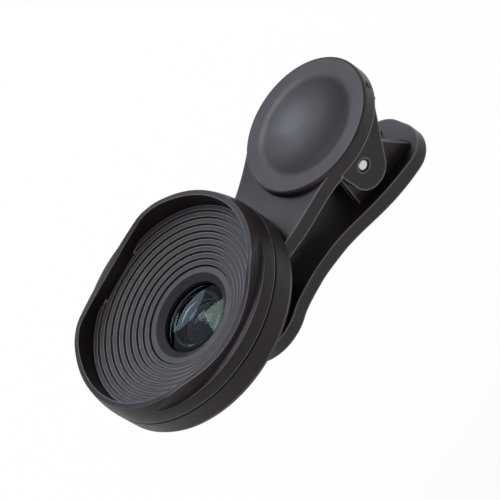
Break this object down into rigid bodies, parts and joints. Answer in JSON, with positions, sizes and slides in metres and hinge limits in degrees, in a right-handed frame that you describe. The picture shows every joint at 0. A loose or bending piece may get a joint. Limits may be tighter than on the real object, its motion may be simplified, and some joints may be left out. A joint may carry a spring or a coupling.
{
  "type": "clip-on phone lens",
  "caption": "Wide angle and macro lens on a sprung clip for a phone camera, with a dipped hood, a ribbed baffle and a dished thumb pad; the lens modules unscrew.",
  "frame": {"origin": "where the lens axis meets the phone: the centre of the front jaw's soft ring, on its phone-side face", "axes": "+Z along the lens axis out of the hood, +X along the clip from the lens to the thumb pad, +Y across the clip"},
  "size_m": [0.0655, 0.038, 0.0274],
  "materials": {
    "arm_plastic": "satin black moulded plastic",
    "pin_steel": "bright steel",
    "spring_steel": "spring steel wire",
    "soft_rubber": "matt black soft rubber",
    "insert_metal": "black anodised",
    "black_aluminium": "satin black anodised",
    "hood_black": "satin black anodised",
    "baffle_black": "matt black",
    "bezel_black": "satin black",
    "cell_black": "matt black",
    "spacer_black": "matt black",
    "ring_metal": "black anodised",
    "coated_glass": "coated glass, violet and green reflections",
    "clear_glass": "clear coated glass"
  },
  "bodies": {
    "clip_base": {"front_arm": "arm_plastic", "socket_ring": "insert_metal", "front_jaw_ring": "soft_rubber", "pivot_pin": "pin_steel", "torsion_spring": "spring_steel"},
    "rear_lever": {"rear_arm": "arm_plastic", "rear_jaw_pad": "soft_rubber"},
    "macro_core": {"macro_lens": "clear_glass"},
    "macro_module": {"macro_barrel": "black_aluminium", "macro_retaining_ring": "ring_metal"},
    "wide_core": {"wide_front_lens": "coated_glass"},
    "wide_module": {"wide_hood": "hood_black", "ribbed_baffle": "baffle_black", "bezel_ring": "bezel_black", "wide_lens_cell": "cell_black", "lens_spacer": "spacer_black", "wide_second_lens": "coated_glass", "inner_retaining_ring": "ring_metal", "inner_spacer": "spacer_black", "wide_rear_lens": "clear_glass"}
  },
  "joints": [
    {"name": "clip_hinge", "type": "hinge", "parent": "clip_base", "child": "rear_lever", "pos_m": [0.0336, 0, -0.00192], "axis": [0, -1, 0], "range_deg": [0, 45], "stiffness_Nm_per_rad": 0.012, "springref_deg": -57.3, "deforming": ["torsion_spring"]},
    {"name": "macro_travel", "type": "slide", "parent": "clip_base", "child": "macro_core", "axis": [0, 0, 1], "range_m": [0, 0.00225]},
    {"name": "macro_turn", "type": "hinge", "parent": "macro_core", "child": "macro_module", "pos_m": [0, 0, 0.0032], "axis": [0, 0, 1], "range_deg": [0, 1080]},
    {"name": "wide_travel", "type": "slide", "parent": "macro_module", "child": "wide_core", "axis": [0, 0, 1], "range_m": [0, 0.003]},
    {"name": "wide_turn", "type": "hinge", "parent": "wide_core", "child": "wide_module", "pos_m": [0, 0, 0.0097], "axis": [0, 0, 1], "range_deg": [0, 1440]}
  ],
  "couplings": [
    {"joint": "macro_travel", "follows": "macro_turn", "m_per_rad": 0.00011937},
    {"joint": "wide_travel", "follows": "wide_turn", "m_per_rad": 0.00011937}
  ]
}
